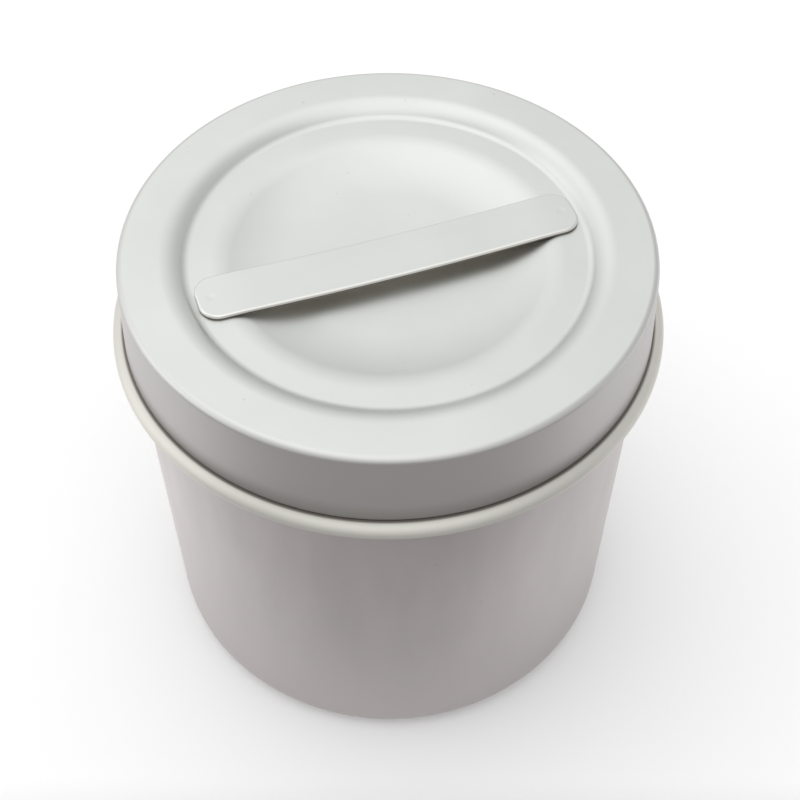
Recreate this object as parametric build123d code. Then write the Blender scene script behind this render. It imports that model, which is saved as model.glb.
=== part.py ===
from build123d import *
import os
from math import atan, cos, hypot, radians, sin, tan

# Dressing jar: a drawn stainless steel jar with a neck and a swaged bead, a drawn
# cover whose skirt slips over the neck and stands on the bead, and a flat strap
# that is spot welded across the cover's dish as its handle.
# Millimetres, +Z up. The origin is the centre of the face that the jar stands on,
# and +X runs along the strap.

# Whole object
overall_height = 108.4
sheet = 0.6

# Jar: outside of the drawn sheet
body_top_radius = 53.7
body_bottom_radius = 52.9
base_corner_radius = 6.0
base_ring_width = 3.9
base_panel_rise = 0.8
base_panel_run = 3.0
base_panel_blend = 4.0

# Swaged bead that carries the cover
bead_reach = 3.8
bead_height = 2.8
bead_nose_share = 0.46
bead_root_radius = 0.8

# Cover: outside of the drawn sheet
cover_overhang = 0.3
cover_edge_radius = 1.4
skirt_height = 17.1
skirt_flare = 1.0
recess_depth = 2.5
recess_slope = 46.0
recess_shoulder_radius = 6.0
recess_foot_radius = 1.6

# Dish: a nearly flat floor, a wall that curves up and a rim that curves over
dish_radius = 35.8
dish_rim_width = 4.3
dish_wall_width = 11.5
dish_floor_slope = 3.0
dish_wall_slope = 19.0

# Strap handle
strap_length = 79.6
strap_width = 11.2
strap_thickness = 1.0
strap_corner_radius = 4.0
strap_edge_round = 0.3
strap_offset = -1.5
strap_sag = 0.8
strap_flat_end = 4.8
strap_bend_run = 6.0
weld_mark_inset = 2.9
weld_mark_radius = 1.2
weld_mark_depth = 0.1

# Clearances
seat_gap = 0.3
neck_gap = 0.3
rim_gap = 1.5
strap_end_gap = 0.15

# Heights that follow from the sizes above
skirt_edge_z = overall_height - skirt_height
bead_top_z = skirt_edge_z - seat_gap
bead_bottom_z = bead_top_z - bead_height
land_z = overall_height - recess_depth
neck_top_z = overall_height - sheet - rim_gap

# Radii that follow from the sizes above
base_panel_radius = body_bottom_radius - base_corner_radius - base_ring_width - base_panel_run
bead_radius = body_top_radius + bead_reach
bead_nose_radius = bead_height * bead_nose_share
cover_radius = body_top_radius + cover_overhang
neck_radius = cover_radius - sheet - neck_gap
skirt_edge_radius = cover_radius + skirt_flare
strap_corner_x = strap_length / 2 - strap_corner_radius
strap_corner_y = strap_width / 2 - strap_corner_radius + abs(strap_offset)
strap_reach = hypot(strap_corner_x, strap_corner_y) + strap_corner_radius
recess_foot_run = recess_foot_radius * tan(radians(recess_slope / 2))
recess_radius = strap_reach + strap_end_gap + recess_foot_run
recess_run = recess_depth / tan(radians(recess_slope))
weld_mark_x = strap_length / 2 - weld_mark_inset

# The dish's arcs: the chord of an arc has the mean of the slopes at its two ends
dish_wall_top = dish_radius - dish_rim_width
dish_floor_edge = dish_wall_top - dish_wall_width
floor_chord = tan(radians(dish_floor_slope / 2))
wall_chord = tan(radians((dish_floor_slope + dish_wall_slope) / 2))
rim_chord = tan(radians(dish_wall_slope / 2))
dish_wall_top_z = land_z - dish_rim_width * rim_chord
dish_floor_edge_z = dish_wall_top_z - dish_wall_width * wall_chord
dish_floor_z = dish_floor_edge_z - dish_floor_edge * floor_chord

# The strap's bow, made of arcs in the same way
strap_flat_x = strap_length / 2 - strap_flat_end
strap_bow_x = strap_flat_x - strap_bend_run
strap_bow_slope = 2 * atan(strap_sag / strap_flat_x)
strap_bow_z = land_z - strap_bend_run * strap_sag / strap_flat_x


def slope_vector(degrees):
    """Unit vector that rises at an angle."""
    return (cos(radians(degrees)), sin(radians(degrees)))


def jar_body():
    """Drawn jar: pushed-up base, tapering wall, hollow bead and straight neck."""
    outline = [
        (0, base_panel_rise),
        (base_panel_radius, base_panel_rise),
        (base_panel_radius + base_panel_run, 0),
        (body_bottom_radius, 0),
        (body_top_radius, bead_bottom_z),
        (bead_radius, bead_bottom_z),
        (bead_radius, bead_top_z),
        (neck_radius, bead_top_z),
        (neck_radius, neck_top_z),
    ]
    corner_radii = [
        base_panel_blend,
        base_panel_blend,
        base_corner_radius,
        bead_root_radius,
        bead_nose_radius,
        bead_nose_radius,
        bead_root_radius,
    ]
    with BuildPart() as jar:
        with BuildSketch(Plane.XZ):
            with BuildLine():
                FilletPolyline(*outline, radius=corner_radii)
                offset(amount=sheet, side=Side.LEFT)
            make_face()
        revolve(axis=Axis.Z)
    return jar.part


def cover():
    """Drawn cover: dish, land for the strap, stepped recess, flat rim and skirt."""
    top_outline = [
        (dish_radius, land_z),
        (recess_radius, land_z),
        (recess_radius + recess_run, overall_height),
        (cover_radius, overall_height),
        (skirt_edge_radius, skirt_edge_z),
    ]
    corner_radii = [recess_foot_radius, recess_shoulder_radius, cover_edge_radius]
    floor_edge = (dish_floor_edge, dish_floor_edge_z)
    wall_top = (dish_wall_top, dish_wall_top_z)
    wall_end = slope_vector(dish_wall_slope)
    with BuildPart() as lid:
        with BuildSketch(Plane.XZ):
            with BuildLine():
                TangentArc((0, dish_floor_z), floor_edge, tangent=(1, 0))
                TangentArc(floor_edge, wall_top, tangent=slope_vector(dish_floor_slope))
                TangentArc(wall_top, top_outline[0], tangent=wall_end)
                FilletPolyline(*top_outline, radius=corner_radii)
                offset(amount=sheet, side=Side.RIGHT)
            make_face()
        revolve(axis=Axis.Z)
    return lid.part


def strap_handle():
    """Strap with rounded ends, bowed down between two shallow spot-weld marks."""
    side = Plane.XZ.offset(-strap_offset)
    top_z = land_z + strap_thickness
    bow_start = (-strap_bow_x, strap_bow_z)
    bow_end = (strap_bow_x, strap_bow_z)
    down = (cos(strap_bow_slope), -sin(strap_bow_slope))
    up = (cos(strap_bow_slope), sin(strap_bow_slope))
    with BuildPart() as strap:
        with BuildSketch(side):
            with BuildLine():
                Line((-strap_length / 2, land_z), (-strap_flat_x, land_z))
                TangentArc((-strap_flat_x, land_z), bow_start, tangent=(1, 0))
                TangentArc(bow_start, bow_end, tangent=down)
                TangentArc(bow_end, (strap_flat_x, land_z), tangent=up)
                Line((strap_flat_x, land_z), (strap_length / 2, land_z))
                offset(amount=strap_thickness, side=Side.LEFT)
            make_face()
        extrude(amount=strap_width / 2, both=True)
        fillet(strap.edges().filter_by(Axis.Z), radius=strap_corner_radius)
        top_faces = strap.faces().filter_by(lambda face: face.normal_at().Z > 0.9)
        side_faces = strap.faces().filter_by(lambda face: abs(face.normal_at().Z) < 0.1)
        fillet(top_faces.edges() & side_faces.edges(), radius=strap_edge_round)
        with BuildSketch(Plane.XY.offset(top_z)):
            with Locations((-weld_mark_x, strap_offset), (weld_mark_x, strap_offset)):
                Circle(weld_mark_radius)
        extrude(amount=-weld_mark_depth, taper=60, mode=Mode.SUBTRACT)
    return strap.part


os.makedirs("parts", exist_ok=True)
for name, make in [
    ("jar_body", jar_body),
    ("cover", cover),
    ("strap_handle", strap_handle),
]:
    export_step(make(), "parts/" + name + ".step")
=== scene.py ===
"""Stainless steel dressing jar, dressed for a studio view.

The jar is three pieces: a drawn jar with a swaged bead, a drawn cover and a flat strap that is
spot welded across the cover's dish. Every length is in metres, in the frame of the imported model:
the origin is the centre of the base, +Z is up and +X runs along the strap.
"""

import logging
import math
from dataclasses import dataclass, field
from enum import Enum

import bpy
from mathutils import Matrix, Vector
from mathutils.geometry import delaunay_2d_cdt


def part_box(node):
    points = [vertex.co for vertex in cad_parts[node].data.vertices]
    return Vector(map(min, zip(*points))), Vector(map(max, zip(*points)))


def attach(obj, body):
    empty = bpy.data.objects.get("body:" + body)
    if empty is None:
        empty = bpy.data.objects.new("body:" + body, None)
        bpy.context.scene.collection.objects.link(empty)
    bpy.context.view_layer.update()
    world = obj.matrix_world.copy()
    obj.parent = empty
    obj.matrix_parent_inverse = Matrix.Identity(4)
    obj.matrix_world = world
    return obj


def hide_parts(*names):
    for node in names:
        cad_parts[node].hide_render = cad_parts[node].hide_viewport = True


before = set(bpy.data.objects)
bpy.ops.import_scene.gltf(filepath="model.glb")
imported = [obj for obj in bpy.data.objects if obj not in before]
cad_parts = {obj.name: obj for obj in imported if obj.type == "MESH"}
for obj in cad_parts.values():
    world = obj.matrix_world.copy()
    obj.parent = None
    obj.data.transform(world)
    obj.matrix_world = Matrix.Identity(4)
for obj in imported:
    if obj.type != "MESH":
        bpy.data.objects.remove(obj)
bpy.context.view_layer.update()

LOG = logging.getLogger("dressing_jar")
MM = 0.001
TINY = 1e-7


class Side(Enum):
    """Which side of an outline's direction the sheet's thickness lies on."""

    LEFT = 1
    RIGHT = -1


@dataclass
class Station:
    """One point of a turned outline, with the outline's direction there.

    Attributes:
        at: Radius and height.
        along: Unit vector along the outline.
    """

    at: Vector
    along: Vector


@dataclass
class SheetOutline:
    """Outline of one face of a drawn sheet, from the axis outwards.

    Attributes:
        step: Largest turn between neighbouring stations on a bend, in radians.
        bend_steps: Smallest number of steps round a bend.
        rise_steps: Smallest number of steps along a shallow arc.
        stations: The stations collected so far.
    """

    step: float = math.radians(5.0)
    bend_steps: int = 4
    rise_steps: int = 16
    stations: list[Station] = field(default_factory=list)

    def straight(self, start: tuple[float, float], end: tuple[float, float]) -> None:
        """Adds a straight run.

        Args:
            start: Radius and height where the run starts.
            end: Radius and height where it ends.
        """
        first, last = Vector(start), Vector(end)
        along = (last - first).normalized()
        self.stations += [Station(first, along), Station(last, along)]

    def bend(
        self, centre: tuple[float, float], radius: float, start: float, end: float, least: int
    ) -> None:
        """Adds an arc about a centre.

        Args:
            centre: Radius and height of the arc's centre.
            radius: Radius of the arc.
            start: Angle of its first point, in radians.
            end: Angle of its last point, in radians.
            least: Smallest number of steps.
        """
        way = 1.0 if end > start else -1.0
        count = max(least, math.ceil(abs(end - start) / self.step))
        for i in range(count + 1):
            a = start + (end - start) * i / count
            spot = Vector(centre) + radius * Vector((math.cos(a), math.sin(a)))
            self.stations.append(Station(spot, way * Vector((-math.sin(a), math.cos(a)))))

    def rise(self, start: tuple[float, float], run: float, first: float, last: float) -> tuple[float, float]:
        """Adds an arc that is given by its slopes.

        Args:
            start: Radius and height where the arc starts.
            run: Width of the arc along the radius.
            first: Slope at its start, in radians.
            last: Slope at its end, in radians.

        Returns:
            Radius and height where the arc ends.
        """
        radius = run / (math.sin(last) - math.sin(first))
        centre = Vector(start) + radius * Vector((-math.sin(first), math.cos(first)))
        quarter = -math.pi / 2 if radius > 0 else math.pi / 2
        self.bend(tuple(centre), abs(radius), first + quarter, last + quarter, self.rise_steps)
        return start[0] + run, start[1] + run * math.tan((first + last) / 2)

    def run(self, points: list[tuple[float, float]], radii: list[float]) -> None:
        """Adds straight runs joined by bends.

        Args:
            points: Corners of the run, with its two ends.
            radii: Bend radius at each corner between the ends.
        """
        corners = [Vector(p) for p in points]
        start = corners[0]
        for before, corner, after, radius in zip(corners, corners[1:], corners[2:], radii):
            u = (corner - before).normalized()
            v = (after - corner).normalized()
            turn = math.atan2(u.x * v.y - u.y * v.x, u.dot(v))
            reach = radius * math.tan(abs(turn) / 2)
            entry, leave = corner - u * reach, corner + v * reach
            self.straight(start, entry)
            way = 1.0 if turn > 0 else -1.0
            centre = entry + way * radius * Vector((-u.y, u.x))
            first = math.atan2(*(entry - centre).yx)
            self.bend(tuple(centre), radius, first, first + turn, self.bend_steps)
            start = leave
        self.straight(start, corners[-1])

    def section(
        self, sheet: float, side: Side, edge_round: float = 0.1 * MM, corner_steps: int = 3
    ) -> list[tuple[Vector, Vector]]:
        """Closes the outline into the section of a sheet with a square cut edge.

        Args:
            sheet: Thickness of the sheet.
            side: Side of the outline that the metal is on.
            edge_round: Radius that takes the sharpness off the cut edge's corners.
            corner_steps: Number of steps round each of those corners.

        Returns:
            Points and outward normals: the outline, the cut edge, then the other face.
        """
        path = self._clean()
        last = path[-1]
        path[-1] = Station(last.at - last.along * edge_round, last.along)
        into = [side.value * Vector((-s.along.y, s.along.x)) for s in path]
        outer = [(s.at, -n) for s, n in zip(path, into)]
        inner = [(s.at + n * sheet, n) for s, n in zip(path, into)]
        edge = []
        for first, centre in (
            (0.0, path[-1].at + into[-1] * edge_round),
            (math.pi / 2, path[-1].at + into[-1] * (sheet - edge_round)),
        ):
            for i in range(corner_steps + 1):
                a = first + math.pi / 2 * i / corner_steps
                normal = math.sin(a) * path[-1].along - math.cos(a) * into[-1]
                edge.append((centre + edge_round * normal, normal))
        return outer + edge[1:-1] + inner[::-1]

    def _clean(self) -> list[Station]:
        """Drops stations that lie on the one before.

        Returns:
            The stations that are left.
        """
        kept = [self.stations[0]]
        for s in self.stations[1:]:
            if (s.at - kept[-1].at).length > TINY:
                kept.append(s)
        return kept


def turned(name: str, section: list[tuple[Vector, Vector]], segments: int = 256) -> bpy.types.Object:
    """Turns a closed section about +Z into a mesh.

    Args:
        name: Name of the new object.
        section: Radius and height of each point of the section, with its outward normal.
        segments: Number of steps round the axis.

    Returns:
        The new object, smooth and with the section's exact normals.
    """
    turns = [(math.cos(math.tau * i / segments), math.sin(math.tau * i / segments)) for i in range(segments)]
    spots: list[tuple[float, float, float]] = []
    normals: list[tuple[float, float, float]] = []
    rings: list[list[int]] = []
    for at, out in section:
        around = turns if at.x > TINY else turns[:1]
        side = out.x if at.x > TINY else 0.0
        rings.append(list(range(len(spots), len(spots) + len(around))))
        spots += [(at.x * c, at.x * n, at.y) for c, n in around]
        normals += [(side * c, side * n, out.y) for c, n in around]
    faces: list[tuple[int, ...]] = []
    for ring, following in zip(rings, rings[1:]):
        for i in range(segments):
            j = (i + 1) % segments
            if len(ring) == 1:
                faces.append((ring[0], following[j], following[i]))
            elif len(following) == 1:
                faces.append((ring[i], ring[j], following[0]))
            else:
                faces.append((ring[i], ring[j], following[j], following[i]))
    mesh = bpy.data.meshes.new(name)
    mesh.from_pydata(spots, [], faces)
    # One face away from the axis tells whether all of them look inwards.
    sample = mesh.polygons[2 * segments]
    if sample.normal.dot(Vector(normals[sample.vertices[0]])) < 0:
        mesh.flip_normals()
    mesh.polygons.foreach_set("use_smooth", [True] * len(mesh.polygons))
    mesh.normals_split_custom_set_from_vertices(normals)
    obj = bpy.data.objects.new(name, mesh)
    bpy.context.scene.collection.objects.link(obj)
    return obj


class MixKind(Enum):
    """What a mix node blends: its data type, its two inputs and its output."""

    VALUE = ("FLOAT", 2, 3, 0)
    COLOUR = ("RGBA", 6, 7, 2)


def opaque(colour: tuple[float, float, float]) -> tuple[float, float, float, float]:
    """Adds full opacity to a colour."""
    return (*colour, 1.0)


def mixed(
    tree: bpy.types.NodeTree,
    kind: MixKind,
    share: bpy.types.NodeSocket,
    base: bpy.types.NodeSocket | float | tuple[float, ...],
    other: float | tuple[float, ...],
) -> bpy.types.NodeSocket:
    """Adds a mix of two values or colours.

    Args:
        tree: The node tree.
        kind: What is mixed.
        share: Socket that gives the share of the other one.
        base: Value, colour or socket to mix from.
        other: Value or colour to mix to.

    Returns:
        The socket of the mix.
    """
    data_type, base_slot, other_slot, result_slot = kind.value
    mix = tree.nodes.new("ShaderNodeMix")
    mix.data_type = data_type
    tree.links.new(share, mix.inputs["Factor"])
    if isinstance(base, bpy.types.NodeSocket):
        tree.links.new(base, mix.inputs[base_slot])
    else:
        mix.inputs[base_slot].default_value = base
    mix.inputs[other_slot].default_value = other
    return mix.outputs[result_slot]


def mapped(
    tree: bpy.types.NodeTree,
    value: bpy.types.NodeSocket,
    start: tuple[float, float],
    end: tuple[float, float] = (0.0, 1.0),
    smooth: bool = False,
) -> bpy.types.NodeSocket:
    """Adds a node that maps one range to another and stops at its ends.

    Args:
        tree: The node tree.
        value: Socket that gives the value.
        start: Range that is mapped.
        end: Range that it is mapped to.
        smooth: Whether the mapping eases in and out.

    Returns:
        The socket of the mapped value.
    """
    node = tree.nodes.new("ShaderNodeMapRange")
    node.interpolation_type = "SMOOTHSTEP" if smooth else "LINEAR"
    tree.links.new(value, node.inputs["Value"])
    node.inputs["From Min"].default_value, node.inputs["From Max"].default_value = start
    node.inputs["To Min"].default_value, node.inputs["To Max"].default_value = end
    return node.outputs["Result"]


def vector_math(
    tree: bpy.types.NodeTree,
    operation: str,
    vector: bpy.types.NodeSocket,
    by: tuple[float, float, float] | None = None,
) -> bpy.types.Node:
    """Adds a node of vector arithmetic.

    Args:
        tree: The node tree.
        operation: Blender's name of the operation.
        vector: Socket that gives the vector.
        by: Second vector, where the operation has one.

    Returns:
        The new node.
    """
    node = tree.nodes.new("ShaderNodeVectorMath")
    node.operation = operation
    tree.links.new(vector, node.inputs[0])
    if by is not None:
        node.inputs[1].default_value = by
    return node


def sum_of(
    tree: bpy.types.NodeTree, first: bpy.types.NodeSocket, second: bpy.types.NodeSocket | float
) -> bpy.types.NodeSocket:
    """Adds a sum of a socket's value and another.

    Args:
        tree: The node tree.
        first: Socket that gives the first value.
        second: The second value, or a socket that gives it.

    Returns:
        The socket of the sum.
    """
    node = tree.nodes.new("ShaderNodeMath")
    tree.links.new(first, node.inputs[0])
    if isinstance(second, bpy.types.NodeSocket):
        tree.links.new(second, node.inputs[1])
    else:
        node.inputs[1].default_value = second
    return node.outputs[0]


class Brushing(Enum):
    """Way that the fine polishing lines run, as the axis that they turn about or cross."""

    ROUND = "Z"
    ALONG = "X"


class Measure(Enum):
    """What a band of painted highlight or shade is measured by."""

    REACH = "reach"
    HEIGHT = "height"
    EDGE_DEPTH = "edge_depth"


@dataclass(frozen=True)
class PaintedLightBand:
    """Band of painted highlight or shade in the steel's colour, from a place outwards or downwards.

    Attributes:
        start: Measure at which the painted colour sets in.
        full: Measure from which it is full.
        colour: Reflected colour, as linear red, green and blue.
        roughness: Roughness.
        measure: Distance from the axis, height, or depth down the cut edge of the strap.
    """

    start: float
    full: float
    colour: tuple[float, float, float]
    roughness: float
    measure: Measure = Measure.REACH

    def share(self, tree: bpy.types.NodeTree, measured: bpy.types.NodeSocket) -> bpy.types.NodeSocket:
        """Adds the nodes that tell the band from the rest.

        Args:
            tree: The material's node tree.
            measured: Socket that gives the band's measure.

        Returns:
            The socket that gives 1 on the band and 0 elsewhere.
        """
        return mapped(tree, measured, (self.start, self.full), smooth=True)


@dataclass(frozen=True)
class SatinSteel:
    """Satin stainless steel with fine polishing lines, faint clouds, a few specks and bands of painted
    highlight and shade.

    Attributes:
        name: Name of the material.
        colour: Reflected colour, as linear red, green and blue.
        roughness: Mean roughness.
        brushing: Way of the polishing lines.
        anisotropy: How far the lines stretch a highlight across them, from 0 to 1.
        line_pitch: Mean distance between neighbouring polishing lines.
        line_depth: Height of the polishing lines.
        line_stretch: How many times longer than their pitch straight lines are.
        line_turns: How fast lines round the axis change on the way round.
        cloud_size: Size of the faint clouds in the finish.
        cloud_stretch: How many times longer the clouds are along Z.
        cloud_gain: How far the clouds change the roughness, each way.
        cloud_range: Cloud values between which the colour changes.
        rough_range: Sums of cloud and line between which the roughness changes.
        uneven: How far the clouds change the colour, each way, as a share.
        speck_pitch: Mean distance between specks.
        speck_edge: Where a speck begins and is full, in shares of the pitch.
        speck_shade: Brightness of a speck, as a share of the colour.
        bands: Bands of painted highlight or shade, in the order that they lie over each other.
    """

    name: str
    colour: tuple[float, float, float]
    roughness: float
    brushing: Brushing = Brushing.ROUND
    anisotropy: float = 0.3
    line_pitch: float = 0.35 * MM
    line_depth: float = 0.0006 * MM
    line_stretch: float = 60.0
    line_turns: float = 3.0
    cloud_size: float = 24.0 * MM
    cloud_stretch: float = 1.0
    cloud_gain: float = 0.03
    cloud_range: tuple[float, float] = (0.3, 0.7)
    rough_range: tuple[float, float] = (0.6, 1.4)
    uneven: float = 0.03
    speck_pitch: float = 9.0 * MM
    speck_edge: tuple[float, float] = (0.045, 0.015)
    speck_shade: float = 0.86
    bands: tuple[PaintedLightBand, ...] = ()

    def material(self) -> bpy.types.Material:
        """Builds the node material.

        Returns:
            The new material.
        """
        mat = bpy.data.materials.new(self.name)
        mat.use_nodes = True
        tree = mat.node_tree
        shader = tree.nodes["Principled BSDF"]
        shader.inputs["Metallic"].default_value = 1.0
        shader.inputs["Anisotropic"].default_value = self.anisotropy
        quarter_turn = 0.25 if self.brushing is Brushing.ROUND else 0.0
        shader.inputs["Anisotropic Rotation"].default_value = quarter_turn
        tangent = tree.nodes.new("ShaderNodeTangent")
        tangent.direction_type = "RADIAL"
        tangent.axis = self.brushing.value
        tree.links.new(tangent.outputs["Tangent"], shader.inputs["Tangent"])
        place = tree.nodes.new("ShaderNodeTexCoord").outputs["Object"]
        lines = self._lines(tree, place)
        clouds = self._clouds(tree, place)
        specks = self._specks(tree, place)
        colour = self._colour(tree, clouds, specks)
        roughness = self._roughness(tree, clouds, lines)
        # Each band paints a highlight or shade into the colour and roughness.
        for band in self.bands:
            share = band.share(tree, self._measured(tree, place, band.measure))
            colour = mixed(tree, MixKind.COLOUR, share, colour, opaque(band.colour))
            roughness = mixed(tree, MixKind.VALUE, share, roughness, band.roughness)
        tree.links.new(colour, shader.inputs["Base Color"])
        tree.links.new(roughness, shader.inputs["Roughness"])
        bump = tree.nodes.new("ShaderNodeBump")
        bump.inputs["Distance"].default_value = self.line_depth
        tree.links.new(lines, bump.inputs["Height"])
        tree.links.new(bump.outputs["Normal"], shader.inputs["Normal"])
        return mat

    def _lines(self, tree: bpy.types.NodeTree, place: bpy.types.NodeSocket) -> bpy.types.NodeSocket:
        """Adds the height of the fine polishing lines.

        Args:
            tree: The material's node tree.
            place: Socket that gives the place that is shaded.

        Returns:
            The socket that gives the height, from 0 to 1.
        """
        grain = tree.nodes.new("ShaderNodeTexNoise")
        grain.noise_dimensions = "4D"
        grain.inputs["Scale"].default_value = 1.0
        grain.inputs["Detail"].default_value = 3.0
        grain.inputs["Roughness"].default_value = 0.6
        across = 1.0 / self.line_pitch
        if self.brushing is Brushing.ALONG:
            scale = (across / self.line_stretch, across, across)
            stretch = vector_math(tree, "MULTIPLY", place, scale)
            tree.links.new(stretch.outputs["Vector"], grain.inputs["Vector"])
            return grain.outputs["Fac"]
        level = self._level(tree, place)
        heading = vector_math(tree, "NORMALIZE", level).outputs["Vector"]
        way = tree.nodes.new("ShaderNodeSeparateXYZ")
        tree.links.new(heading, way.inputs[0])
        join = tree.nodes.new("ShaderNodeCombineXYZ")
        for target, source, scale in (
            (join.inputs["X"], self._measured(tree, place, Measure.REACH), across),
            (join.inputs["Y"], self._measured(tree, place, Measure.HEIGHT), across),
            (join.inputs["Z"], way.outputs["X"], self.line_turns),
            (grain.inputs["W"], way.outputs["Y"], self.line_turns),
        ):
            times = tree.nodes.new("ShaderNodeMath")
            times.operation = "MULTIPLY"
            times.inputs[1].default_value = scale
            tree.links.new(source, times.inputs[0])
            tree.links.new(times.outputs[0], target)
        tree.links.new(join.outputs["Vector"], grain.inputs["Vector"])
        return grain.outputs["Fac"]

    def _measured(
        self, tree: bpy.types.NodeTree, place: bpy.types.NodeSocket, measure: Measure
    ) -> bpy.types.NodeSocket:
        """Adds a measure of the place that is shaded.

        Args:
            tree: The material's node tree.
            place: Socket that gives the place that is shaded.
            measure: What is measured.

        Returns:
            The socket that gives the measure.
        """
        if measure is Measure.REACH:
            return vector_math(tree, "LENGTH", self._level(tree, place)).outputs["Value"]
        if measure is Measure.HEIGHT:
            split = tree.nodes.new("ShaderNodeSeparateXYZ")
            tree.links.new(place, split.inputs[0])
            return split.outputs["Z"]
        stored = tree.nodes.new("ShaderNodeAttribute")
        stored.attribute_name = measure.value
        return stored.outputs["Fac"]

    def _level(self, tree: bpy.types.NodeTree, place: bpy.types.NodeSocket) -> bpy.types.NodeSocket:
        """Adds the sideways part of a place, from the axis."""
        return vector_math(tree, "MULTIPLY", place, (1.0, 1.0, 0.0)).outputs["Vector"]

    def _clouds(self, tree: bpy.types.NodeTree, place: bpy.types.NodeSocket) -> bpy.types.NodeSocket:
        """Adds the faint clouds of a hand-polished finish.

        Args:
            tree: The material's node tree.
            place: Socket that gives the place that is shaded.

        Returns:
            The socket that gives the clouds, from 0 to 1.
        """
        squeeze = vector_math(tree, "MULTIPLY", place, (1.0, 1.0, 1.0 / self.cloud_stretch))
        cloud = tree.nodes.new("ShaderNodeTexNoise")
        cloud.inputs["Scale"].default_value = 1.0 / self.cloud_size
        cloud.inputs["Detail"].default_value = 4.0
        cloud.inputs["Roughness"].default_value = 0.55
        tree.links.new(squeeze.outputs["Vector"], cloud.inputs["Vector"])
        return cloud.outputs["Fac"]

    def _specks(self, tree: bpy.types.NodeTree, place: bpy.types.NodeSocket) -> bpy.types.NodeSocket:
        """Adds small scattered specks.

        Args:
            tree: The material's node tree.
            place: Socket that gives the place that is shaded.

        Returns:
            The socket that gives 1 in a speck and 0 elsewhere.
        """
        cells = tree.nodes.new("ShaderNodeTexVoronoi")
        cells.inputs["Scale"].default_value = 1.0 / self.speck_pitch
        tree.links.new(place, cells.inputs["Vector"])
        return mapped(tree, cells.outputs["Distance"], self.speck_edge)

    def _colour(
        self, tree: bpy.types.NodeTree, clouds: bpy.types.NodeSocket, specks: bpy.types.NodeSocket
    ) -> bpy.types.NodeSocket:
        """Adds the reflected colour, a little uneven and darker in the specks.

        Args:
            tree: The material's node tree.
            clouds: Socket that gives the clouds.
            specks: Socket that gives the specks.

        Returns:
            The socket that gives the colour.
        """
        contrast = mapped(tree, clouds, self.cloud_range)
        dull, bright, speck = (
            opaque(tuple(share * c for c in self.colour))
            for share in (1 - self.uneven, 1 + self.uneven, self.speck_shade)
        )
        uneven = mixed(tree, MixKind.COLOUR, contrast, dull, bright)
        return mixed(tree, MixKind.COLOUR, specks, uneven, speck)

    def _roughness(
        self, tree: bpy.types.NodeTree, clouds: bpy.types.NodeSocket, lines: bpy.types.NodeSocket
    ) -> bpy.types.NodeSocket:
        """Adds the roughness, which changes with the clouds and the lines.

        Args:
            tree: The material's node tree.
            clouds: Socket that gives the clouds.
            lines: Socket that gives the height of the polishing lines.

        Returns:
            The socket that gives the roughness.
        """
        ends = (self.roughness - self.cloud_gain, self.roughness + self.cloud_gain)
        return mapped(tree, sum_of(tree, clouds, lines), self.rough_range, ends)


def fit_piece(obj: bpy.types.Object, finish: SatinSteel, body: str, node: str) -> None:
    """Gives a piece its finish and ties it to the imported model.

    Args:
        obj: The piece.
        finish: Its finish, named after its material slot.
        body: Body that it moves with.
        node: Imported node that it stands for.
    """
    obj.data.materials.clear()
    obj.data.materials.append(finish.material())
    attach(obj, body)
    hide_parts(node)
    LOG.info("%s stands for %s on body %s", obj.name, node, body)


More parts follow.
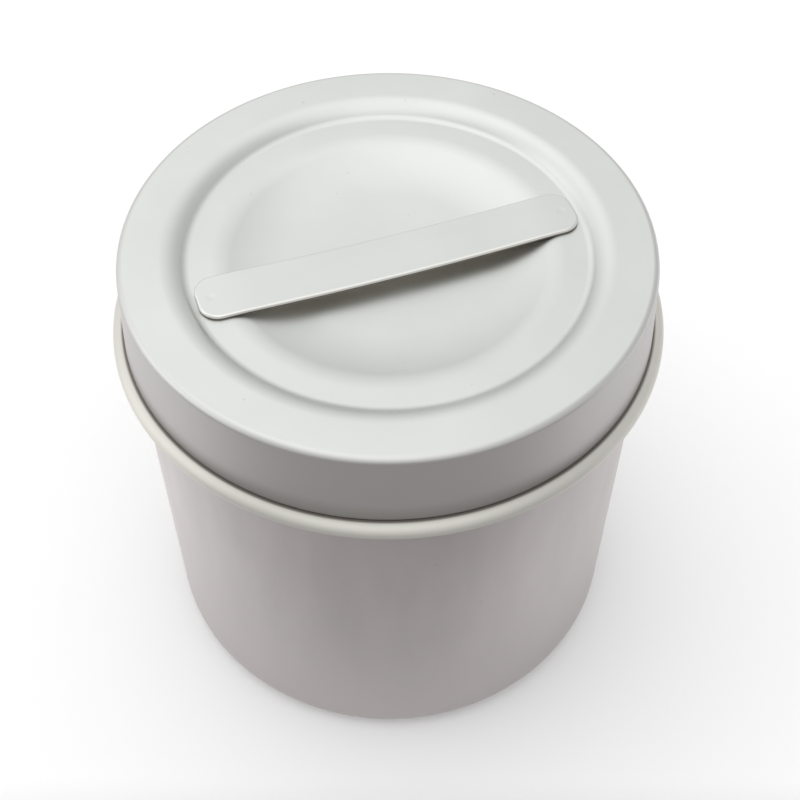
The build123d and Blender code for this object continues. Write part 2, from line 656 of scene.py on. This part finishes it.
@dataclass
class JarBody:
    """Drawn jar: pushed-up base, tapering wall, hollow bead and straight neck.

    The crease is painted shade: the dark line under the bead. Its start is measured from the top of the
    wall, and the start of the nose's painted highlight from the middle of the bead.
    """

    sheet: float = 0.6 * MM
    top_radius: float = 53.7 * MM
    bottom_radius: float = 52.9 * MM
    corner_radius: float = 6.0 * MM
    panel_radius: float = 40.0 * MM
    panel_rise: float = 0.8 * MM
    panel_run: float = 3.0 * MM
    panel_blend: float = 4.0 * MM
    bead_reach: float = 3.8 * MM
    bead_height: float = 2.8 * MM
    bead_upper_round: float = 2.1 * MM
    bead_lower_round: float = 0.65 * MM
    bead_root: float = 0.8 * MM
    seat_gap: float = 0.3 * MM
    neck_gap: float = 0.3 * MM
    rim_gap: float = 1.5 * MM
    crease_start: float = 0.3 * MM
    crease_fade: float = 0.3 * MM
    nose_start: float = -0.4 * MM
    nose_fade: float = 0.6 * MM
    foot_height: float = 60.0 * MM

    def build(self, cover: "Cover") -> bpy.types.Object:
        """Builds the jar under a cover.

        Args:
            cover: The cover that stands on the bead.

        Returns:
            The jar's mesh object.
        """
        bead_top = cover.skirt_edge - self.seat_gap
        bead_bottom = bead_top - self.bead_height
        bead_radius = self.top_radius + self.bead_reach
        neck_radius = cover.radius - cover.sheet - self.neck_gap
        neck_top = cover.top - cover.sheet - self.rim_gap
        outline = SheetOutline()
        outline.run(
            [
                (0.0, self.panel_rise),
                (self.panel_radius, self.panel_rise),
                (self.panel_radius + self.panel_run, 0.0),
                (self.bottom_radius, 0.0),
                (self.top_radius, bead_bottom),
                (bead_radius, bead_bottom),
                (bead_radius, bead_top),
                (neck_radius, bead_top),
                (neck_radius, neck_top),
            ],
            [
                self.panel_blend,
                self.panel_blend,
                self.corner_radius,
                self.bead_root,
                self.bead_lower_round,
                self.bead_upper_round,
                self.bead_root,
            ],
        )
        return turned("jar_shell", outline.section(self.sheet, Side.LEFT))

    def dress(self, obj: bpy.types.Object) -> None:
        """Gives the jar its finish, with a painted highlight on the bead's nose, painted shade in the crease
        under the bead and a wall painted darker towards its foot.

        Args:
            obj: The jar's mesh object.
        """
        crease_start = self.top_radius + self.crease_start
        nose_start = self.top_radius + self.bead_reach / 2 + self.nose_start
        # Painted shade: a dark line in the crease under the bead.
        painted_crease_shade = PaintedLightBand(crease_start, crease_start + self.crease_fade, (0.22, 0.2, 0.18), 0.5)
        # Painted highlight: a lighter, warmer colour on the bead's nose.
        painted_nose_highlight = PaintedLightBand(nose_start, nose_start + self.nose_fade, (0.66, 0.65, 0.605), 0.48)
        # Painted shade: the wall's colour darkens towards its foot.
        painted_foot_shade = PaintedLightBand(self.foot_height, 0.0, (0.49, 0.457, 0.457), 0.42, Measure.HEIGHT)
        # The jar's steel is darker and pinker than the cover's same steel: painted shade and a painted pink
        # reflection of its surroundings.
        steel = SatinSteel(
            "jar_steel",
            (0.563, 0.528, 0.528),
            0.42,
            anisotropy=0.75,
            cloud_size=18.0 * MM,
            cloud_stretch=4.0,
            uneven=0.08,
            bands=(painted_foot_shade, painted_crease_shade, painted_nose_highlight),
        )
        fit_piece(obj, steel, "jar", "jar_body")


@dataclass
class Cover:
    """Drawn cover: dish, land for the strap, stepped recess, flat rim and skirt.

    The recess keeps the place that foot_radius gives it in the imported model, and foot_round is
    the softer rounding that is seen there.
    """

    top: float
    sheet: float = 0.6 * MM
    radius: float = 54.0 * MM
    edge_radius: float = 1.4 * MM
    skirt_height: float = 17.1 * MM
    skirt_flare: float = 1.0 * MM
    hem_height: float = 5.0 * MM
    recess_depth: float = 2.5 * MM
    recess_slope: float = math.radians(46.0)
    shoulder_radius: float = 6.0 * MM
    foot_radius: float = 1.6 * MM
    foot_round: float = 2.1 * MM
    dish_radius: float = 35.8 * MM
    rim_width: float = 4.3 * MM
    wall_width: float = 11.5 * MM
    floor_slope: float = math.radians(3.0)
    wall_slope: float = math.radians(19.0)
    strap_end_gap: float = 0.15 * MM
    corner_fade: float = 0.4 * MM
    skirt_start: float = -0.1 * MM
    skirt_full: float = 0.05 * MM

    @property
    def skirt_edge(self) -> float:
        """Height of the skirt's cut edge."""
        return self.top - self.skirt_height

    @property
    def land(self) -> float:
        """Height of the flat land that carries the strap."""
        return self.top - self.recess_depth

    @property
    def dish_depth(self) -> float:
        """Depth of the dish below the land."""
        floor_width = self.dish_radius - self.rim_width - self.wall_width
        floor_rise = floor_width * math.tan(self.floor_slope / 2)
        wall_rise = self.wall_width * math.tan((self.floor_slope + self.wall_slope) / 2)
        return floor_rise + wall_rise + self.rim_width * math.tan(self.wall_slope / 2)

    def recess_radius(self, strap: "Strap") -> float:
        """Radius of the recess's lower corner, just outside the strap's ends.

        Args:
            strap: The strap that lies in the recess.

        Returns:
            The radius.
        """
        foot_run = self.foot_radius * math.tan(self.recess_slope / 2)
        return strap.reach + self.strap_end_gap + foot_run

    def build(self, strap: "Strap") -> bpy.types.Object:
        """Builds the cover round a strap.

        Args:
            strap: The strap that lies on the land.

        Returns:
            The cover's mesh object.
        """
        floor_width = self.dish_radius - self.rim_width - self.wall_width
        corner = self.recess_radius(strap)
        recess_run = self.recess_depth / math.tan(self.recess_slope)
        outline = SheetOutline()
        spot = outline.rise((0.0, self.land - self.dish_depth), floor_width, 0.0, self.floor_slope)
        spot = outline.rise(spot, self.wall_width, self.floor_slope, self.wall_slope)
        outline.rise(spot, self.rim_width, self.wall_slope, 0.0)
        outline.run(
            [
                (self.dish_radius, self.land),
                (corner, self.land),
                (corner + recess_run, self.top),
                (self.radius, self.top),
                (self.radius + self.skirt_flare, self.skirt_edge),
            ],
            [self.foot_round, self.shoulder_radius, self.edge_radius],
        )
        return turned("cover_shell", outline.section(self.sheet, Side.RIGHT))

    def dress(self, obj: bpy.types.Object) -> None:
        """Gives the cover its finish, with painted shade on its rounded edge and on its skirt, darkest at
        the skirt's edge.

        Args:
            obj: The cover's mesh object.
        """
        edge = self.radius + self.skirt_flare
        hem_start = edge - self.skirt_flare * self.hem_height / self.skirt_height
        corner_start = self.radius - self.edge_radius
        # Painted shade: the rounded outer edge is a little darker, which dims its highlight.
        corner = PaintedLightBand(corner_start, corner_start + self.corner_fade, (0.585, 0.59, 0.575), 0.4)
        skirt_start = self.radius + self.skirt_start
        skirt_full = self.radius + self.skirt_full
        # Painted shade on the skirt, a little pink as a painted reflection of the surroundings.
        painted_skirt_shade = PaintedLightBand(skirt_start, skirt_full, (0.537, 0.518, 0.519), 0.48)
        # Painted shade: darkest at the skirt's edge next to the bead.
        painted_hem_shade = PaintedLightBand(hem_start, edge, (0.38, 0.37, 0.365), 0.48)
        bands = (corner, painted_skirt_shade, painted_hem_shade)
        steel = SatinSteel("cover_steel", (0.606, 0.62, 0.602), 0.4, anisotropy=0.2, bands=bands)
        fit_piece(obj, steel, "lid", "cover")


@dataclass
class Strap:
    """Flat strap with rounded ends, slightly bowed between its two welds.

    The painted highlight on the upper edges and the painted shade on the cut sides are placed by depths
    below the upper face, and the underside's painted warm light by depths below the strap's thickness.
    """

    length: float = 79.6 * MM
    width: float = 11.2 * MM
    thickness: float = 1.0 * MM
    corner_radius: float = 4.0 * MM
    edge_round: float = 0.5 * MM
    lower_edge_round: float = 0.1 * MM
    edge_steps: int = 6
    offset: float = -1.5 * MM
    sag: float = 0.8 * MM
    flat_end: float = 4.8 * MM
    bend_run: float = 6.0 * MM
    weld_place: float = 36.9 * MM
    weld_radius: float = 1.2 * MM
    weld_depth: float = 0.05 * MM
    weld_rings: int = 8
    weld_turns: int = 32
    grid_steps: int = 60
    grid_rows: tuple[float, ...] = (-4.0 * MM, -2.0 * MM, 0.0, 2.0 * MM, 4.0 * MM)
    painted_highlight_depth: float = 0.1 * MM
    painted_shade_start: float = 0.55 * MM
    painted_shade_full: float = 0.7 * MM
    painted_warmth_start: float = 0.1 * MM
    painted_warmth_full: float = 0.2 * MM

    @property
    def reach(self) -> float:
        """Distance from the axis to the farthest point of the strap."""
        corner_x = self.length / 2 - self.corner_radius
        corner_y = self.width / 2 - self.corner_radius + abs(self.offset)
        return math.hypot(corner_x, corner_y) + self.corner_radius

    def bow(self, x: float) -> tuple[float, float]:
        """Drop and slope of the bow at a place along the strap.

        Args:
            x: Place along the strap, from its middle.

        Returns:
            How far the bow lowers the strap, and its slope along +X.
        """
        flat_x = self.length / 2 - self.flat_end
        bow_x = flat_x - self.bend_run
        steepest = math.sin(2 * math.atan(self.sag / flat_x))
        out = abs(x)
        way = math.copysign(1.0, x)
        if out >= flat_x:
            return 0.0, 0.0
        if out >= bow_x:
            bend = self.bend_run / steepest
            reach = flat_x - out
            return bend - math.sqrt(bend**2 - reach**2), way * reach / bend
        arch = bow_x / steepest
        return self.sag - arch + math.sqrt(arch**2 - out**2), way * out / arch

    def plan(self, inset: float) -> list[tuple[float, float, float, float]]:
        """Plan of the strap, moved inwards from its cut edge.

        Args:
            inset: Distance inwards.

        Returns:
            Points round the plan with the directions outwards, counter-clockwise.
        """
        corner_steps, side_steps, end_steps = 12, 64, 4
        radius = self.corner_radius - inset
        cx = self.length / 2 - self.corner_radius
        cy = self.width / 2 - self.corner_radius
        points: list[tuple[float, float, float, float]] = []
        for quarter, (sx, sy) in enumerate([(1, 1), (-1, 1), (-1, -1), (1, -1)]):
            for i in range(corner_steps + 1):
                a = math.pi / 2 * (quarter + i / corner_steps)
                c, n = math.cos(a), math.sin(a)
                points.append((sx * cx + radius * c, sy * cy + radius * n, c, n))
            if quarter in (0, 2):
                for i in range(1, side_steps):
                    points.append((sx * cx * (1 - 2 * i / side_steps), sy * (cy + radius), 0.0, float(sy)))
            else:
                for i in range(1, end_steps):
                    points.append((sx * (cx + radius), sy * cy * (1 - 2 * i / end_steps), float(sx), 0.0))
        return points

    def build(self, land: float) -> bpy.types.Object:
        """Builds the strap on the cover's land.

        Args:
            land: Height of the land.

        Returns:
            The strap's mesh object.
        """
        levels: list[tuple[float, float, float, float]] = []
        for radius, centre, start in (
            (self.lower_edge_round, self.lower_edge_round, -math.pi / 2),
            (self.edge_round, self.thickness - self.edge_round, 0.0),
        ):
            for i in range(self.edge_steps + 1):
                a = start + math.pi / 2 * i / self.edge_steps
                c, n = math.cos(a), math.sin(a)
                levels.append((radius - radius * c, centre + radius * n, c, n))
        spots: list[tuple[float, float, float]] = []
        normals: list[Vector] = []
        loops: list[list[int]] = []
        depths: list[float] = []
        for inset, z, side, up in levels:
            loop = []
            for x, y, nx, ny in self.plan(inset):
                drop, slope = self.bow(x)
                loop.append(len(spots))
                spots.append((x, y + self.offset, land + z - drop))
                normals.append(Vector((side * nx - up * slope, side * ny, up)).normalized())
                depths.append(self.thickness - z)
            loops.append(loop)
        faces: list[tuple[int, ...]] = []
        for low, high in zip(loops, loops[1:]):
            for i in range(len(low)):
                j = (i + 1) % len(low)
                faces.append((low[i], low[j], high[j], high[i]))
        self._fill(loops[-1], True, spots, normals, faces)
        depths += [0.0] * (len(spots) - len(depths))
        self._fill(loops[0], False, spots, normals, faces)
        depths += [2 * self.thickness] * (len(spots) - len(depths))
        mesh = bpy.data.meshes.new("strap")
        mesh.from_pydata(spots, [], faces)
        mesh.polygons.foreach_set("use_smooth", [True] * len(mesh.polygons))
        mesh.normals_split_custom_set_from_vertices(normals)
        stored = mesh.attributes.new(Measure.EDGE_DEPTH.value, "FLOAT", "POINT")
        stored.data.foreach_set("value", depths)
        obj = bpy.data.objects.new("strap", mesh)
        bpy.context.scene.collection.objects.link(obj)
        return obj

    def dress(self, obj: bpy.types.Object) -> None:
        """Gives the strap its finish: lines along it, painted highlights on its upper edges, painted shade
        on its cut sides, and an underside painted lighter and warmer so that the shade under the strap turns
        warm.

        Args:
            obj: The strap's mesh object.
        """
        depth = Measure.EDGE_DEPTH
        # Painted highlight on the rounded upper edges.
        painted_edge_highlight = PaintedLightBand(0.0, self.painted_highlight_depth, (0.8, 0.785, 0.75), 0.3, depth)
        # Painted shade on the cut sides.
        painted_side_shade = PaintedLightBand(self.painted_shade_start, self.painted_shade_full, (0.18, 0.165, 0.15), 0.5, depth)
        # Painted warm light: the underside is lighter and warmer, which warms the shade under the strap.
        painted_warmth_start = self.thickness + self.painted_warmth_start
        painted_warm_underside = PaintedLightBand(painted_warmth_start, self.thickness + self.painted_warmth_full, (0.75, 0.68, 0.6), 0.4, depth)
        steel = SatinSteel(
            "strap_steel",
            (0.598, 0.61, 0.592),
            0.38,
            brushing=Brushing.ALONG,
            bands=(painted_edge_highlight, painted_side_shade, painted_warm_underside),
        )
        fit_piece(obj, steel, "lid", "strap_handle")

    def _fill(
        self,
        loop: list[int],
        upper: bool,
        spots: list[tuple[float, float, float]],
        normals: list[Vector],
        faces: list[tuple[int, ...]],
    ) -> None:
        """Closes one face of the strap with a fine grid, with the weld marks in the upper one.

        Args:
            loop: Vertices round the face.
            upper: Whether it is the upper face.
            spots: Vertex places, which grow.
            normals: Vertex normals, which grow.
            faces: Faces, which grow.
        """
        level = spots[loop[0]][2] + self.bow(spots[loop[0]][0])[0]
        points = [Vector(spots[v][:2]) for v in loop]
        edges = [(i, (i + 1) % len(loop)) for i in range(len(loop))]
        if upper:
            points += self._weld_points()
        clear = self.weld_place - 2 * self.weld_radius
        for i in range(-self.grid_steps, self.grid_steps + 1):
            x = clear * i / self.grid_steps
            points += [Vector((x, self.offset + y)) for y in self.grid_rows]
        made = delaunay_2d_cdt(points, edges, [list(range(len(loop)))], 1, TINY)
        places, made_faces, sources = made[0], made[2], made[3]
        number: dict[int, int] = {}
        for k, spot in enumerate(places):
            known = [i for i in sources[k] if i < len(loop)]
            if known:
                number[k] = loop[known[0]]
                continue
            drop, slope = self.bow(spot.x)
            dent, lean = self._dent(spot) if upper else (0.0, Vector((0.0, 0.0)))
            number[k] = len(spots)
            spots.append((spot.x, spot.y, level - drop - dent))
            way = 1.0 if upper else -1.0
            normals.append(Vector((lean.x - way * slope, lean.y, way)).normalized())
        for face in made_faces:
            ring = tuple(number[k] for k in face)
            faces.append(ring if upper else ring[::-1])

    def _weld_points(self) -> list[Vector]:
        """Places the rings of points that the two spot-weld marks need.

        Returns:
            The points in plan.
        """
        points = []
        for side in (-1, 1):
            for ring in range(self.weld_rings + 1):
                radius = self.weld_radius * ring / self.weld_rings
                for k in range(self.weld_turns if ring else 1):
                    a = math.tau * k / self.weld_turns
                    x = side * self.weld_place + radius * math.cos(a)
                    points.append(Vector((x, self.offset + radius * math.sin(a))))
        return points

    def _dent(self, spot: Vector) -> tuple[float, Vector]:
        """Depth of the spot-weld mark at a place on the strap.

        Args:
            spot: Place on the upper face.

        Returns:
            The depth there, and the sideways part of the normal.
        """
        middle = Vector((math.copysign(self.weld_place, spot.x), self.offset))
        away = spot - middle
        share = away.length / self.weld_radius
        if share >= 1:
            return 0.0, Vector((0.0, 0.0))
        depth = self.weld_depth * (1 - share**2) ** 2
        steep = 4 * self.weld_depth * share * (1 - share**2) / self.weld_radius
        return depth, -away.normalized() * steep if share > 0 else Vector((0.0, 0.0))


@dataclass(frozen=True)
class SkyPanel:
    """Soft bright patch of the surroundings.

    Attributes:
        azimuth: Direction, in degrees to the right of straight behind the jar.
        elevation: Height above the horizon, in degrees.
        inner: Angle from its middle up to which it is fully bright, in degrees.
        outer: Angle at which it has faded away, in degrees.
        strength: Brightness of its middle.
    """

    azimuth: float
    elevation: float
    inner: float
    outer: float
    strength: float

    def brightness(
        self, tree: bpy.types.NodeTree, direction: bpy.types.NodeSocket, turn: float
    ) -> bpy.types.NodeSocket:
        """Adds the nodes that give the panel's brightness in a direction.

        Args:
            tree: The world's node tree.
            direction: Socket that gives the direction looked in.
            turn: Angle from the photograph's axes to the jar's.

        Returns:
            The socket that gives the brightness.
        """
        a = math.radians(self.azimuth) + turn
        e = math.radians(self.elevation)
        middle = (math.sin(a) * math.cos(e), math.cos(a) * math.cos(e), math.sin(e))
        near = vector_math(tree, "DOT_PRODUCT", direction, middle).outputs["Value"]
        edges = (math.cos(math.radians(self.outer)), math.cos(math.radians(self.inner)))
        return mapped(tree, near, edges, (0.0, self.strength), smooth=True)


@dataclass
class Studio:
    """Floor, soft light and the camera of the photograph.

    The floor's colour deepens in front of the jar, from near_start to near_end along the line of
    sight, because the jar's front mirrors a darker foreground in the photograph.
    """

    focal_px: float = 1394.0
    image_px: float = 800.0
    pitch: float = math.radians(51.405)
    roll: float = math.radians(0.086)
    distance: float = 317.68 * MM
    aim_side: float = 2.434 * MM
    aim_height: float = 57.92 * MM
    strap_turn: float = math.radians(19.2)
    floor_size: float = 4.0
    floor_colour: tuple[float, float, float] = (0.92, 0.92, 0.92)
    near_colour: tuple[float, float, float] = (0.365, 0.355, 0.35)
    near_start: float = -64.0 * MM
    near_end: float = -101.0 * MM
    fill: float = 0.75
    panels: tuple[SkyPanel, ...] = (
        SkyPanel(azimuth=0, elevation=90, inner=5, outer=42, strength=0.46),
        SkyPanel(azimuth=0, elevation=55, inner=5, outer=42, strength=0.32),
        SkyPanel(azimuth=180, elevation=55, inner=5, outer=42, strength=0.46),
        SkyPanel(azimuth=0, elevation=18, inner=5, outer=42, strength=0.12),
        SkyPanel(azimuth=-65, elevation=38, inner=5, outer=52, strength=0.5),
        SkyPanel(azimuth=-95, elevation=12, inner=5, outer=40, strength=0.5),
    )

    def camera(self) -> bpy.types.Object:
        """Places the camera where the photograph was taken from.

        Returns:
            The camera.
        """
        data = bpy.data.cameras.new("camera")
        data.sensor_width = 36.0
        data.lens = self.focal_px / self.image_px * data.sensor_width
        data.clip_start = 0.01
        cam = bpy.data.objects.new("camera", data)
        bpy.context.scene.collection.objects.link(cam)
        back = Vector((0, -math.cos(self.pitch), math.sin(self.pitch)))
        right = Vector((1, 0, 0))
        up = back.cross(right)
        axes = Matrix((right, up, back)).transposed() @ Matrix.Rotation(self.roll, 3, "Z")
        aim = Vector((self.aim_side, 0, self.aim_height))
        turn = Matrix.Rotation(-self.strap_turn, 3, "Z")
        cam.matrix_world = Matrix.LocRotScale(turn @ (aim + back * self.distance), turn @ axes, None)
        bpy.context.scene.camera = cam
        return cam

    def floor(self) -> bpy.types.Object:
        """Lays a pale floor under the jar, with painted shade in front of it.

        Returns:
            The floor's object.
        """
        half = self.floor_size / 2
        mesh = bpy.data.meshes.new("floor")
        corners = [(-half, -half, 0), (half, -half, 0), (half, half, 0), (-half, half, 0)]
        mesh.from_pydata(corners, [], [(0, 1, 2, 3)])
        mat = bpy.data.materials.new("floor")
        mat.use_nodes = True
        shader = mat.node_tree.nodes["Principled BSDF"]
        mat.node_tree.links.new(self._floor_shade(mat.node_tree), shader.inputs["Base Color"])
        shader.inputs["Roughness"].default_value = 0.9
        shader.inputs["Specular IOR Level"].default_value = 0.1
        mesh.materials.append(mat)
        obj = bpy.data.objects.new("floor", mesh)
        bpy.context.scene.collection.objects.link(obj)
        return obj

    def _floor_shade(self, tree: bpy.types.NodeTree) -> bpy.types.NodeSocket:
        """Adds the floor's pale colour, which deepens softly in front of the jar.

        Args:
            tree: The floor material's node tree.

        Returns:
            The socket that gives the colour.
        """
        place = tree.nodes.new("ShaderNodeTexCoord").outputs["Object"]
        away = (math.sin(self.strap_turn), math.cos(self.strap_turn), 0.0)
        along = vector_math(tree, "DOT_PRODUCT", place, away).outputs["Value"]
        # Painted shade: the floor's colour deepens in front of the jar.
        pale = mapped(tree, along, (self.near_end, self.near_start), smooth=True)
        return mixed(tree, MixKind.COLOUR, pale, opaque(self.near_colour), opaque(self.floor_colour))

    def sky(self) -> None:
        """Surrounds the jar with soft light, brightest above and behind it."""
        world = bpy.data.worlds.new("studio")
        bpy.context.scene.world = world
        world.use_nodes = True
        tree = world.node_tree
        direction = tree.nodes.new("ShaderNodeTexCoord").outputs["Generated"]
        first, *others = (panel.brightness(tree, direction, self.strap_turn) for panel in self.panels)
        total = sum_of(tree, first, self.fill)
        for bright in others:
            total = sum_of(tree, total, bright)
        background = tree.nodes["Background"]
        background.inputs["Color"].default_value = (1.0, 1.0, 1.0, 1.0)
        tree.links.new(total, background.inputs["Strength"])


def main() -> None:
    """Builds, dresses and lights the jar."""
    logging.basicConfig(level=logging.INFO)
    cover = Cover(top=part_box("cover")[1].z)
    strap = Strap()
    jar = JarBody()
    jar.dress(jar.build(cover))
    cover.dress(cover.build(strap))
    strap.dress(strap.build(cover.land))
    studio = Studio()
    studio.camera()
    studio.floor()
    studio.sky()
    bpy.context.scene.view_settings.view_transform = "Standard"


if __name__ == "__main__":
    main()
